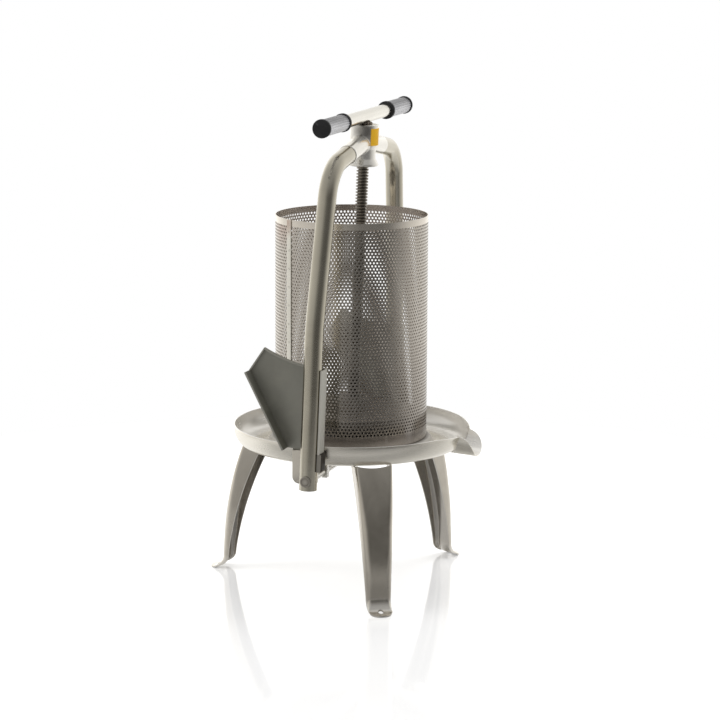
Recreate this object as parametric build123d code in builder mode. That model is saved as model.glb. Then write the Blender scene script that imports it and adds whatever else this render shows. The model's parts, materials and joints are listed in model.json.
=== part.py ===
from build123d import *
import os
from math import acos, asin, cos, degrees, radians, sin, tan

# Fruit press: a perforated basket stands in a juice tray on three legs, and a screw in a
# swing-over yoke drives the press plate down into it.
# Millimetres, +Z up, origin on the floor under the basket's axis, +X towards the pouring lip.

# Basket
basket_radius = 100
basket_height = 294
basket_sheet = 1.5
seam_width = 17
seam_sheet = 1.2
seam_angle = -130

# Juice tray, a spun bowl with a raised floor for the basket and a gutter round it
leg_height = 183
tray_sheet = 1.5
tray_depth = 27.5
plateau_margin = 5
plateau_rise = 12
plateau_slope = 8
plateau_bend = 4
gutter_width = 13
lip_width = 52
lip_corner = 17
lip_reach = 22
lip_end_height = 2
lip_bulge = 4.5

# Legs, sheet channels that are open towards the axis
leg_sheet = 2.5
leg_inset = 13
leg_splay = 34.5
leg_top_width = 49
leg_foot_width = 30.5
slot_depth = 1.2
slot_side = 2.5
flange_top_depth = 29
flange_waist_height = 105
flange_waist_depth = 28.5
flange_foot_height = 6
flange_foot_depth = 6.5
flange_foot_round = 8
flange_toe_turn = 60
toe_flare = 14
toe_length = 21.5
toe_round = 16
toe_hole_reach = 9.5
toe_hole_radius = 3

# Hinge under the tray
shaft_radius = 6.5
shaft_gap = 4
shaft_end_gap = 0.2
saddle_length = 10
saddle_side = 6.5
saddle_wall = 4.5
pin_radius = 4
pin_depth = 24
pin_head_step = 3
pin_head_height = 3.2
pin_head_round = 1.4
pin_head_gap = 0.3
bush_wall = 1.2
bush_inset = 0.4
running_clearance = 0.05

# Stop plates beside the arms, with points and heights measured from the pivot
stop_gap = 2.5
stop_sheet = 2.5
stop_flange = 20
stop_edge = 5
stop_corner = (-64, 164.5)
stop_slope = 27.3
stop_slope_start = 48
stop_slope_end = 158
stop_right_end = 143
bracket_sheet = 3
bracket_left = -26
bracket_top = 35
bracket_rim = 2.5
bracket_side = 3.5
bracket_corner = 9
arm_gap = 0.5
arm_rest_gap = 0.3
buffer_thickness = 5.5
buffer_bottom = 12
buffer_top = 35

# Yoke, whose heights are measured from the pivot along the leaning screw
lean = 2.2
arm_radius = 11
arm_wall = 2
arm_end = 12
arm_bend_height = 195
arm_bend_radius = 250
shoulder_radius = 52
shoulder_run = 38
sleeve_rise = 9
sleeve_wall = 1.6
sleeve_mouth = 68
sleeve_bore_wall = 12
sleeve_below_top = 10.3
head_above_basket = 64.5
head_height = 54
head_wall = 4
head_top_swell = 2.5
head_top_length = 27
head_flange_swell = 4
head_flange_height = 5
head_bore_gap = 1
nut_wall = 4
nut_length = 26
label_height = 22
label_margin = 4.5
label_gap = 1.07
label_sheet = 0.5

# Screw and handle
screw_radius = 8
spigot_radius = 5.5
handle_gap = 1.5
handle_radius = 8.5
handle_wall = 1.5
handle_length = 350
grip_length = 88
grip_wall = 2.4
grip_ring_step = 1
grip_ring_length = 4
grip_end = 4
grip_round = 1

# Press plate with the swivel cup for the screw's end
plate_clearance = 15.5
plate_thickness = 10
plate_edge = 1.5
plate_rest = 26
hub_height = 16
hub_wall = 7
hub_clearance = 5
washer_thickness = 2
axial_clearance = 0.1
button_step = 2
button_height = 4
journal_step = 3
retainer_height = 8

# Heights
gutter_z = leg_height + tray_sheet
plateau_z = gutter_z + plateau_rise
rim_z = gutter_z + tray_depth
pivot_z = leg_height - shaft_gap - shaft_radius

# Radii of the tray from its raised floor out to its rim
plateau_radius = basket_radius + plateau_margin
gutter_start = plateau_radius + plateau_slope
wall_root = gutter_start + gutter_width
bowl_radius = wall_root + tray_depth
rim_radius = bowl_radius + tray_sheet

# Distances from the middle out to one side, along Y
saddle_centre = gutter_start + gutter_width / 2
stop_inner = rim_radius + stop_gap
stop_outer = stop_inner + stop_sheet
bracket_outer = stop_outer + bracket_sheet
shaft_half = bracket_outer + shaft_end_gap
arm_offset = bracket_outer + arm_gap + arm_radius
shoulder_offset = arm_offset - shoulder_run

# Heights above the pivot along the yoke
plate_bottom = plateau_z + plate_rest - pivot_z
plate_top = plate_bottom + plate_thickness
head_bottom = plateau_z + basket_height - pivot_z + head_above_basket
head_top = head_bottom + head_height
handle_bottom = head_top + handle_gap
handle_axis = handle_bottom + handle_radius

# Frames of the leaning yoke: square to the screw, upright across the press, and along the handle
yoke = Plane(origin=(0, 0, pivot_z)).rotated((0, lean, 0))
yoke_side = Plane(origin=yoke.origin, x_dir=yoke.y_dir, z_dir=yoke.x_dir)
handle_plane = Plane(origin=yoke.offset(handle_axis).origin, x_dir=yoke.x_dir, z_dir=-yoke.y_dir)

os.makedirs("parts", exist_ok=True)


# Juice tray
lip_root = gutter_start + plateau_bend
lip_tip = rim_radius + lip_reach


def lip_section(wall):
    """Cross-section of the pouring lip's channel, grown outwards by a wall."""
    with BuildSketch(Plane.YZ.offset(lip_root)) as section:
        with Locations((0, gutter_z - wall)):
            Rectangle(lip_width + 2 * wall, 2 * tray_depth, align=(Align.CENTER, Align.MIN))
        fillet(section.vertices().group_by(Axis.Y)[0], lip_corner + wall)
    return section.sketch


with BuildPart() as lip:
    extrude(lip_section(tray_sheet), amount=lip_tip - lip_root)
    extrude(lip_section(0), amount=lip_tip - lip_root, mode=Mode.SUBTRACT)
    # The bowl's inside stays clear
    with BuildSketch(Plane.XZ):
        with BuildLine():
            floor = Line((0, gutter_z), (wall_root, gutter_z))
            wall = JernArc(floor @ 1, (1, 0), tray_depth, 90)
            Polyline(wall @ 1, (bowl_radius, 2 * rim_z), (0, 2 * rim_z), (0, gutter_z))
        make_face()
    revolve(axis=Axis.Z, mode=Mode.SUBTRACT)
    # The sides fall from the rim to the tip
    with BuildSketch(Plane.XZ):
        with BuildLine():
            lip_start = (bowl_radius - lip_bulge, rim_z)
            lip_end = (lip_tip, gutter_z + lip_end_height)
            SagittaArc(lip_start, lip_end, lip_bulge)
            Polyline(
                lip_end,
                (2 * lip_tip, lip_end[1]),
                (2 * lip_tip, 2 * rim_z),
                (lip_start[0], 2 * rim_z),
                lip_start,
            )
        make_face()
    extrude(amount=lip_width, both=True, mode=Mode.SUBTRACT)

with BuildPart() as juice_tray:
    with BuildSketch(Plane.XZ):
        with BuildLine():
            floor = FilletPolyline(
                (0, plateau_z),
                (plateau_radius, plateau_z),
                (gutter_start, gutter_z),
                (wall_root, gutter_z),
                radius=plateau_bend,
            )
            JernArc(floor @ 1, (1, 0), tray_depth, 90)
            offset(amount=tray_sheet, side=Side.RIGHT)
        make_face()
    revolve(axis=Axis.Z)
    extrude(lip_section(0), amount=lip_tip - lip_root, mode=Mode.SUBTRACT)
    add(lip.part)
juice_tray.part.label = "juice_tray"
export_step(juice_tray.part, "parts/juice_tray.step")


# Legs, each with a bowed face, two side flanges and a flared toe
leg_angles = {"leg_front": -60, "leg_back": 60, "leg_left": 180}
leg_top_radius = rim_radius - leg_inset
leg_foot_radius = leg_top_radius + leg_splay
toe_radius = leg_foot_radius + toe_length
flange_top = (leg_top_radius - flange_top_depth, leg_height)
flange_waist = (leg_foot_radius - flange_waist_depth, flange_waist_height)
flange_foot = (leg_foot_radius - flange_foot_depth, flange_foot_height)
flare_z = toe_flare + leg_sheet
flare_centre = (leg_foot_radius + toe_flare, flare_z)
face_rise = leg_height - flare_z
face_radius = (face_rise**2 + leg_splay**2) / (2 * leg_splay)
face_centre = (leg_foot_radius - face_radius, flare_z)
face_arc = degrees(asin(face_rise / face_radius))


def leg_outline(front, side_wall):
    """Tapered outline of a leg seen from outside, narrowed by a wall on each side."""
    top = leg_top_width / 2 - side_wall
    foot = leg_foot_width / 2 - side_wall
    with BuildSketch(front) as outline:
        Polygon((-foot, 0), (foot, 0), (top, leg_height), (-top, leg_height), align=None)
    return outline.sketch


for leg_name, leg_angle in leg_angles.items():
    radial = Vector(1, 0, 0).rotate(Axis.Z, leg_angle)
    tangent = radial.rotate(Axis.Z, 90)
    side = Plane((0, 0, 0), x_dir=radial, z_dir=-tangent)
    front = Plane((0, 0, 0), x_dir=tangent, z_dir=radial)
    with BuildPart() as leg_hollow:
        with BuildSketch(side):
            with BuildLine():
                inner_face = CenterArc(face_centre, face_radius - leg_sheet, 0, face_arc)
                toe_underside = CenterArc(flare_centre, flare_z, 180, 90)
                Polyline(
                    inner_face @ 1,
                    ((inner_face @ 1).X, 2 * leg_height),
                    (0, 2 * leg_height),
                    (0, 0),
                    toe_underside @ 1,
                )
            make_face()
        extrude(amount=leg_top_width, both=True)
        extrude(leg_outline(front, leg_sheet), amount=toe_radius, mode=Mode.INTERSECT)
    with BuildPart() as leg:
        with BuildSketch(side) as side_view:
            with BuildLine():
                face = CenterArc(face_centre, face_radius, 0, face_arc)
                toe_top = CenterArc(flare_centre, toe_flare, 180, 90)
                toe_bottom = CenterArc(flare_centre, flare_z, 180 + flange_toe_turn, 90 - flange_toe_turn)
                Polyline(toe_top @ 1, (toe_radius, leg_sheet), (toe_radius, 0), toe_bottom @ 1)
                Line(toe_bottom @ 0, flange_foot)
                ThreePointArc(flange_foot, flange_waist, flange_top)
                Line(flange_top, face @ 1)
            make_face()
            fillet(side_view.vertices().sort_by_distance(flange_foot)[0], flange_foot_round)
        extrude(amount=leg_top_width, both=True)
        extrude(leg_outline(front, 0), amount=toe_radius, mode=Mode.INTERSECT)
        add(leg_hollow.part, mode=Mode.SUBTRACT)
        # Slot between the face's top edge and the tray
        with BuildSketch(front):
            with Locations((0, leg_height)):
                Rectangle(leg_top_width - 2 * slot_side, 2 * slot_depth)
        extrude(amount=toe_radius, mode=Mode.SUBTRACT)
        # Rounded toe with its bolt hole
        with BuildSketch(Plane((0, 0, 0), x_dir=radial)):
            Rectangle(toe_radius - toe_round, leg_top_width, align=(Align.MIN, Align.CENTER))
            with Locations((toe_radius - toe_round, 0)):
                Circle(toe_round)
            with Locations((leg_foot_radius + toe_hole_reach, 0)):
                Circle(toe_hole_radius, mode=Mode.SUBTRACT)
        extrude(amount=leg_height, mode=Mode.INTERSECT)
    leg.part.label = leg_name
    export_step(leg.part, f"parts/{leg_name}.step")


# Pivot shaft under the tray, drilled at both ends for the hinge pins
with BuildPart() as pivot_shaft:
    with BuildSketch(Plane.XZ):
        with Locations((0, pivot_z)):
            Circle(shaft_radius)
    extrude(amount=shaft_half, both=True)
    for end in (Plane.XZ.offset(shaft_half), Plane.XZ.offset(pin_depth - shaft_half)):
        with BuildSketch(end):
            with Locations((0, pivot_z)):
                Circle(pin_radius)
        extrude(amount=-pin_depth, mode=Mode.SUBTRACT)
pivot_shaft.part.label = "pivot_shaft"
export_step(pivot_shaft.part, "parts/pivot_shaft.step")

# Saddle that carries the shaft under the gutter
saddle_height = leg_height - pivot_z + shaft_radius + saddle_wall
with BuildPart() as shaft_saddle:
    with BuildSketch(Plane.XZ.offset(saddle_centre)):
        with Locations((0, leg_height)):
            Rectangle(2 * (shaft_radius + saddle_side), saddle_height, align=(Align.CENTER, Align.MAX))
        with Locations((0, pivot_z)):
            Circle(shaft_radius, mode=Mode.SUBTRACT)
    extrude(amount=saddle_length / 2, both=True)
shaft_saddle.part.label = "shaft_saddle_front"

# Hinge bracket on the shaft, outside the stop plate
bracket_below = shaft_radius + bracket_rim
bracket_width = shaft_radius + bracket_side - bracket_left
with BuildPart() as hinge_bracket:
    with BuildSketch(Plane.XZ.offset(stop_outer)) as bracket_outline:
        with Locations((bracket_left, pivot_z - bracket_below)):
            Rectangle(bracket_width, bracket_top + bracket_below, align=(Align.MIN, Align.MIN))
        fillet(bracket_outline.vertices().group_by(Axis.Y)[0], bracket_corner)
        with Locations((0, pivot_z)):
            Circle(shaft_radius, mode=Mode.SUBTRACT)
    extrude(amount=bracket_sheet)
hinge_bracket.part.label = "hinge_bracket_front"


def leaned(x, height):
    """Point of the XZ plane at an offset from the screw's axis and a height above the pivot."""
    turn = radians(lean)
    return (x * cos(turn) + height * sin(turn), pivot_z - x * sin(turn) + height * cos(turn))


def swung(x, height):
    """Point of the XZ plane in the frame of an arm that lies on the sloped stop."""
    turn = radians(stop_slope)
    return (x * cos(turn) - height * sin(turn), pivot_z + x * sin(turn) + height * cos(turn))


# Stop plate: a flat sheet with a flange that the arm leans on at either end of its swing
arm_reach = arm_radius + arm_rest_gap
flange_reach = arm_reach + stop_sheet
slope_start = swung(-flange_reach, stop_slope_start)
slope_end = swung(-flange_reach, stop_slope_end)
corner = (stop_corner[0], pivot_z + stop_corner[1])
right_end = leaned(flange_reach, stop_right_end)
right_start = leaned(flange_reach, buffer_top)
plate_foot = leaned(flange_reach, buffer_bottom)
with BuildPart() as stop_plate:
    with BuildSketch(Plane.XZ.offset(stop_inner)):
        with BuildLine():
            Polyline(
                (bracket_left, plate_foot[1]),
                (bracket_left, slope_start[1]),
                slope_start,
                slope_end,
                corner,
                right_end,
                plate_foot,
                close=True,
            )
        make_face()
    extrude(amount=stop_sheet)
    with BuildSketch(Plane.XZ.offset(stop_outer)):
        for flange_line in ((slope_start, slope_end), (right_end, right_start)):
            with BuildLine():
                Polyline(*flange_line)
                offset(amount=stop_sheet, side=Side.RIGHT)
            make_face()
    extrude(amount=stop_flange)
    with BuildSketch(Plane.XZ.offset(stop_outer)):
        with BuildLine():
            Polyline(slope_end, corner, right_end)
            offset(amount=stop_sheet, side=Side.RIGHT)
        make_face()
    extrude(amount=stop_edge - stop_sheet)
stop_plate.part.label = "stop_plate_front"

# Rubber buffer under the upright flange
buffer_reach = arm_reach + buffer_thickness
with BuildPart() as stop_buffer:
    with BuildSketch(Plane.XZ.offset(stop_outer)):
        Polygon(
            leaned(arm_reach, buffer_bottom),
            leaned(buffer_reach, buffer_bottom),
            leaned(buffer_reach, buffer_top),
            leaned(arm_reach, buffer_top),
            align=None,
        )
    extrude(amount=stop_flange)
stop_buffer.part.label = "stop_buffer_front"

# Hinge pin, screwed into the shaft's end
pin_seat = arm_offset + arm_radius + pin_head_gap
with BuildPart() as hinge_pin:
    with BuildSketch(Plane.XZ.offset(shaft_half - pin_depth)):
        with Locations((0, pivot_z)):
            Circle(pin_radius)
    extrude(amount=pin_seat + pin_depth - shaft_half)
    with BuildSketch(Plane.XZ.offset(pin_seat)):
        with Locations((0, pivot_z)):
            Circle(pin_radius + pin_head_step)
    extrude(amount=pin_head_height)
    fillet(hinge_pin.edges().filter_by(GeomType.CIRCLE).sort_by(Axis.Y)[0], pin_head_round)
hinge_pin.part.label = "hinge_pin_front"

# Bush in the arm's foot, running on the pin
bush_bore = pin_radius + running_clearance
bush_radius = bush_bore + bush_wall
with BuildPart() as pivot_bush:
    with BuildSketch(Plane.XZ.offset(arm_offset)):
        with Locations((0, pivot_z)):
            Circle(bush_radius)
            Circle(bush_bore, mode=Mode.SUBTRACT)
    extrude(amount=arm_radius - bush_inset, both=True)
pivot_bush.part.label = "pivot_bush_front"


# Yoke arm, a bent tube from the pivot up into the head's sleeve
sleeve_radius = arm_radius + sleeve_wall
nut_radius = screw_radius + nut_wall
sleeve_bore_end = nut_radius + sleeve_bore_wall


def sleeve_height(distance):
    """Height of the sleeve's axis above the pivot at a distance from the screw."""
    return head_top - sleeve_below_top - sleeve_radius - distance * tan(radians(sleeve_rise))


with BuildPart() as yoke_arm:
    with BuildLine(yoke_side) as arm_path:
        FilletPolyline(
            (-arm_offset, -arm_end),
            (-arm_offset, arm_bend_height),
            (-shoulder_offset, sleeve_height(shoulder_offset)),
            (-sleeve_bore_end, sleeve_height(sleeve_bore_end)),
            radius=(arm_bend_radius, shoulder_radius),
        )
    with BuildSketch(arm_path.line ^ 0):
        Circle(arm_radius)
        Circle(arm_radius - arm_wall, mode=Mode.SUBTRACT)
    sweep()
    with BuildSketch(Plane.XZ.offset(arm_offset)):
        with Locations((0, pivot_z)):
            Circle(bush_radius)
    extrude(amount=2 * arm_radius, both=True, mode=Mode.SUBTRACT)
yoke_arm.part.label = "yoke_arm_front"


# Cast head, a waisted boss with a sleeve for each arm
waist_radius = nut_radius + head_wall
head_radius = waist_radius + head_top_swell
head_flange_radius = waist_radius + head_flange_swell
with BuildPart() as head_casting:
    with BuildSketch(yoke_side):
        with BuildLine():
            Polyline(
                (0, head_bottom),
                (head_flange_radius, head_bottom),
                (head_flange_radius, head_bottom + head_flange_height / 2),
                (waist_radius, head_bottom + 2 * head_flange_height),
                (waist_radius, head_top - head_top_length - head_flange_height),
                (head_radius, head_top - head_top_length),
                (head_radius, head_top),
                (0, head_top),
                close=True,
            )
        make_face()
    revolve(axis=Axis(yoke.origin, yoke.z_dir))
    for hand in (-1, 1):
        with BuildLine(yoke_side):
            sleeve = Line((hand * sleeve_mouth, sleeve_height(sleeve_mouth)), (0, sleeve_height(0)))
        with BuildSketch(sleeve ^ 0):
            Circle(sleeve_radius)
        extrude(amount=sleeve.length)
    for hand in (-1, 1):
        with BuildLine(yoke_side):
            bore = Line(
                (hand * sleeve_mouth, sleeve_height(sleeve_mouth)),
                (hand * sleeve_bore_end, sleeve_height(sleeve_bore_end)),
            )
        with BuildSketch(bore ^ 0):
            Circle(arm_radius)
        extrude(amount=bore.length, mode=Mode.SUBTRACT)
    with BuildSketch(yoke.offset(head_bottom)):
        Circle(nut_radius)
    extrude(amount=nut_length, mode=Mode.SUBTRACT)
    with BuildSketch(yoke.offset(head_bottom)):
        Circle(screw_radius + head_bore_gap)
    extrude(amount=head_height, mode=Mode.SUBTRACT)
head_casting.part.label = "head_casting"
export_step(head_casting.part, "parts/head_casting.step")

# Nut pressed into the head
with BuildPart() as screw_nut:
    with BuildSketch(yoke.offset(head_bottom)):
        Circle(nut_radius)
        Circle(screw_radius + running_clearance, mode=Mode.SUBTRACT)
    extrude(amount=nut_length)
screw_nut.part.label = "screw_nut"
export_step(screw_nut.part, "parts/screw_nut.step")

# Plain label on the side of the head towards the lip, as wide as the sleeves leave room for
label_radius = head_radius + label_sheet
label_half = degrees(acos((sleeve_radius + label_gap) / label_radius))
with BuildPart() as head_label:
    with BuildSketch(yoke.offset(head_top - label_margin)):
        with BuildLine():
            inner = CenterArc((0, 0), head_radius, -label_half, 2 * label_half)
            outer = CenterArc((0, 0), label_radius, -label_half, 2 * label_half)
            Line(inner @ 0, outer @ 0)
            Line(inner @ 1, outer @ 1)
        make_face()
    extrude(amount=-label_height)
head_label.part.label = "head_label"
export_step(head_label.part, "parts/head_label.step")


# Press plate
with BuildPart() as press_plate:
    with BuildSketch(yoke.offset(plate_bottom)):
        Circle(basket_radius - basket_sheet - plate_clearance)
    extrude(amount=plate_thickness)
    chamfer(press_plate.edges().filter_by(GeomType.CIRCLE), plate_edge)
press_plate.part.label = "press_plate"
export_step(press_plate.part, "parts/press_plate.step")

# Swivel cup on the plate: the screw's button turns between a washer and a retainer
journal_radius = screw_radius - journal_step
button_radius = screw_radius + button_step
hub_bore = button_radius + hub_clearance
button_bottom = plate_top + washer_thickness + axial_clearance
button_top = button_bottom + button_height
retainer_bottom = button_top + axial_clearance
retainer_top = retainer_bottom + retainer_height
thread_bottom = retainer_top + axial_clearance

with BuildPart() as plate_hub:
    with BuildSketch(yoke.offset(plate_top)):
        Circle(hub_bore + hub_wall)
        Circle(hub_bore, mode=Mode.SUBTRACT)
    extrude(amount=hub_height)
plate_hub.part.label = "plate_hub"
export_step(plate_hub.part, "parts/plate_hub.step")

with BuildPart() as thrust_washer:
    with BuildSketch(yoke.offset(plate_top)):
        Circle(hub_bore)
    extrude(amount=washer_thickness)
thrust_washer.part.label = "thrust_washer"
export_step(thrust_washer.part, "parts/thrust_washer.step")

with BuildPart() as hub_retainer:
    with BuildSketch(yoke.offset(retainer_bottom)):
        Circle(hub_bore)
        Circle(journal_radius + running_clearance, mode=Mode.SUBTRACT)
    extrude(amount=retainer_height)
hub_retainer.part.label = "hub_retainer"
export_step(hub_retainer.part, "parts/hub_retainer.step")


# Screw: end button, journal, thread at its outer diameter, and a spigot up into the handle
with BuildPart() as screw:
    with BuildSketch(yoke.offset(button_bottom)):
        Circle(button_radius)
    extrude(amount=button_height)
    with BuildSketch(yoke.offset(button_top)):
        Circle(journal_radius)
    extrude(amount=thread_bottom - button_top)
    with BuildSketch(yoke.offset(thread_bottom)):
        Circle(screw_radius)
    extrude(amount=handle_bottom - thread_bottom)
    with BuildSketch(yoke.offset(handle_bottom)):
        Circle(spigot_radius)
    extrude(amount=handle_radius)
screw.part.label = "screw"
export_step(screw.part, "parts/screw.step")

# Handle tube across the screw's top
with BuildPart() as handle_tube:
    with BuildSketch(handle_plane):
        Circle(handle_radius)
        Circle(handle_radius - handle_wall, mode=Mode.SUBTRACT)
    extrude(amount=handle_length / 2, both=True)
    with BuildSketch(yoke.offset(handle_bottom)):
        Circle(spigot_radius)
    extrude(amount=handle_radius, mode=Mode.SUBTRACT)
handle_tube.part.label = "handle_tube"
export_step(handle_tube.part, "parts/handle_tube.step")

# Closed grip over the tube's end, with a ring at each end
grip_radius = handle_radius + grip_wall
grip_start = handle_length / 2 + grip_end - grip_length
with BuildPart() as grip:
    with BuildSketch(handle_plane.offset(grip_start)):
        Circle(grip_radius)
    extrude(amount=grip_length)
    for ring_start in (grip_start, grip_start + grip_length - grip_ring_length):
        with BuildSketch(handle_plane.offset(ring_start)):
            Circle(grip_radius + grip_ring_step)
        extrude(amount=grip_ring_length)
    fillet(grip.edges().filter_by(GeomType.CIRCLE).sort_by(Axis.Y)[0], grip_round)
    with BuildSketch(handle_plane.offset(grip_start)):
        Circle(handle_radius)
    extrude(amount=grip_length - grip_end, mode=Mode.SUBTRACT)
grip.part.label = "grip_front"


# Basket wall with its lapped seam
with BuildPart() as basket_wall:
    with BuildSketch(Plane.XY.offset(plateau_z)):
        Circle(basket_radius)
        Circle(basket_radius - basket_sheet, mode=Mode.SUBTRACT)
    extrude(amount=basket_height)
basket_wall.part.label = "basket_wall"
export_step(basket_wall.part, "parts/basket_wall.step")

seam_arc = degrees(seam_width / basket_radius)
seam_start = seam_angle - seam_arc / 2
with BuildPart() as basket_seam:
    with BuildSketch(Plane.XY.offset(plateau_z)):
        with BuildLine():
            inner = CenterArc((0, 0), basket_radius, seam_start, seam_arc)
            outer = CenterArc((0, 0), basket_radius + seam_sheet, seam_start, seam_arc)
            Line(inner @ 0, outer @ 0)
            Line(inner @ 1, outer @ 1)
        make_face()
    extrude(amount=basket_height)
basket_seam.part.label = "basket_seam"
export_step(basket_seam.part, "parts/basket_seam.step")


# Every front piece has its mirror image at the back
for front_piece in (
    shaft_saddle,
    hinge_bracket,
    stop_plate,
    stop_buffer,
    hinge_pin,
    pivot_bush,
    yoke_arm,
    grip,
):
    front_name = front_piece.part.label
    export_step(front_piece.part, f"parts/{front_name}.step")
    with BuildPart() as back_piece:
        mirror(front_piece.part, about=Plane.XZ)
    back_name = front_name.replace("_front", "_back")
    back_piece.part.label = back_name
    export_step(back_piece.part, f"parts/{back_name}.step")
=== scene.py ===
import json
from collections import Counter
from math import acos, asin, atan2, ceil, copysign, cos, degrees, hypot, pi, prod, radians, sin, sqrt, tan

import bmesh
import bpy
from mathutils import Matrix, Vector


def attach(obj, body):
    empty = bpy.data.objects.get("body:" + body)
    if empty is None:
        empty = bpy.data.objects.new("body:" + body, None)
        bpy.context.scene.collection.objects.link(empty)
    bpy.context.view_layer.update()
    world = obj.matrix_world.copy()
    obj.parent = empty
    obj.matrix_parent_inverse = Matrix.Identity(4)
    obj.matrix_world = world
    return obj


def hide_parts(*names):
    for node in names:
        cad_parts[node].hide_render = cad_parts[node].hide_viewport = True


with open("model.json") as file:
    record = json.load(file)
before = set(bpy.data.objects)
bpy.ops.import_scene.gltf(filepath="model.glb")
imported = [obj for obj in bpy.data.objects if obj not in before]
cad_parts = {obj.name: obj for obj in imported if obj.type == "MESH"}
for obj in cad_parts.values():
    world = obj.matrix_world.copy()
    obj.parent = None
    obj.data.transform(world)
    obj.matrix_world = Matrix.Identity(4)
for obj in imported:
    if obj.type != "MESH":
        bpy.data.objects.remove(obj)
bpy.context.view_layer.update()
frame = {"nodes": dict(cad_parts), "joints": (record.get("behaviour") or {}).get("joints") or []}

nodes = frame["nodes"]
joints = {joint["name"]: joint for joint in frame["joints"]}
pivot = Vector(joints["screw_spin"]["pos_m"])
screwAxis = Vector(joints["screw_spin"]["axis"])
lean = atan2(screwAxis.x, screwAxis.z)
yokePlace = Matrix.Translation(pivot) @ Matrix.Rotation(lean, 4, "Y")  # from upright at the origin
quarter = pi / 2
hands = {"front": 1, "back": -1}


# Small helpers for working as by hand

def clamp(value):
    return min(max(value, 0), 1)


def ease(value):
    share = clamp(value)
    return share * share * (3 - 2 * share)


def deselectAll():
    if bpy.context.object and bpy.context.object.mode != "OBJECT":
        bpy.ops.object.mode_set(mode="OBJECT")
    bpy.ops.object.select_all(action="DESELECT")


def makeActive(piece):
    deselectAll()
    piece.select_set(True)
    bpy.context.view_layer.objects.active = piece


def newPiece(name):
    piece = bpy.context.object
    piece.name = name
    piece.data.name = name
    return piece


def freezePlace():
    bpy.ops.object.transform_apply(location=True, rotation=True, scale=True)


def addShape(name, operator, **settings):
    deselectAll()
    operator(**settings)
    piece = newPiece(name)
    freezePlace()
    return piece


def editSelect(piece, kind, test):
    # goes into edit mode with only the elements that pass the test selected
    makeActive(piece)
    bpy.ops.object.mode_set(mode="EDIT")
    bpy.ops.mesh.select_mode(type=kind)
    bpy.ops.mesh.select_all(action="DESELECT")
    mesh = bmesh.from_edit_mesh(piece.data)
    for element in {"VERT": mesh.verts, "EDGE": mesh.edges}[kind]:
        element.select_set(test(element))
    mesh.select_flush_mode()
    bmesh.update_edit_mesh(piece.data)


def editAll(piece):
    makeActive(piece)
    bpy.ops.object.mode_set(mode="EDIT")
    bpy.ops.mesh.select_mode(type="VERT")
    bpy.ops.mesh.select_all(action="SELECT")


def editDone():
    bpy.ops.object.mode_set(mode="OBJECT")


def turnOut(piece):
    editAll(piece)
    bpy.ops.mesh.normals_make_consistent(inside=False)
    editDone()


def mergeAndTurnOut(piece, gap=1e-5):
    editAll(piece)
    bpy.ops.mesh.remove_doubles(threshold=gap)
    turnOut(piece)


def flipIf(piece, wrong):
    if wrong:
        piece.data.flip_normals()


def applyModifier(piece, kind, **settings):
    makeActive(piece)
    modifier = piece.modifiers.new(kind.lower(), kind)
    for key, value in settings.items():
        setattr(modifier, key, value)
    bpy.ops.object.modifier_apply(modifier=modifier.name)


def thicken(piece, sheet, offset=-1.0):
    applyModifier(piece, "SOLIDIFY", thickness=sheet, offset=offset)


def roundEdges(piece, width, over):
    # over is the angle, in degrees, from which an edge counts as sharp
    applyModifier(piece, "BEVEL", width=width, segments=2, limit_method="ANGLE", angle_limit=radians(over))


def smoothByAngle(piece, angle):
    makeActive(piece)
    bpy.ops.object.shade_smooth_by_angle(angle=radians(angle))
    return piece


def linkPiece(name, data):
    piece = bpy.data.objects.new(name, data)
    bpy.context.scene.collection.objects.link(piece)
    data.name = name
    return piece


def copyPiece(piece, name, place):
    twin = linkPiece(name, piece.data.copy())
    twin.data.transform(place)
    flipIf(twin, place.determinant() < 0)
    return twin


def joinPieces(name, *pieces):
    deselectAll()
    for piece in pieces:
        piece.select_set(True)
    bpy.context.view_layer.objects.active = pieces[0]
    bpy.ops.object.join()
    return newPiece(name)


def drawProfile(name, points):
    # one vertex in the XZ plane, extruded from point to point
    piece = addShape(name, bpy.ops.mesh.primitive_plane_add, size=0.001)
    editAll(piece)
    bpy.ops.mesh.merge(type="CENTER")
    bpy.ops.transform.translate(value=(points[0][0], 0, points[0][1]))
    for start, end in zip(points, points[1:]):
        step = (end[0] - start[0], 0, end[1] - start[1])
        bpy.ops.mesh.extrude_vertices_move(TRANSFORM_OT_translate={"value": step})
    editDone()
    return piece


def lathe(name, points, steps, start=0, sweep=2 * pi):
    piece = drawProfile(name, points)
    editAll(piece)
    bpy.ops.transform.rotate(value=-start, orient_axis="Z", center_override=(0, 0, 0))
    bpy.ops.mesh.spin(steps=steps, angle=sweep, center=(0, 0, 0), axis=(0, 0, -1))  # counter-clockwise
    editDone()
    mergeAndTurnOut(piece)
    return piece


def roundedLine(points, radii, steps):
    # a line of (x, z) points with its inner corners rounded
    line = [points[0]]
    for before, corner, after, radius in zip(points, points[1:], points[2:], radii):
        turn, into, out = Vector(corner), Vector(before) - Vector(corner), Vector(after) - Vector(corner)
        half = into.angle(out) / 2
        if radius == 0 or half > 1.56:  # nothing to round on a straight run
            line.append(corner)
            continue
        reach = radius / tan(half)
        first, last = turn + into.normalized() * reach, turn + out.normalized() * reach
        middle = turn + (into.normalized() + out.normalized()).normalized() * radius / sin(half)
        sweep = (first - middle).angle_signed(last - middle)
        for step in range(steps + 1):
            arm = (first - middle).copy()
            arm.rotate(Matrix.Rotation(-sweep * step / steps, 2))
            line.append(tuple(middle + arm))
    return line + [points[-1]]


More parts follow.
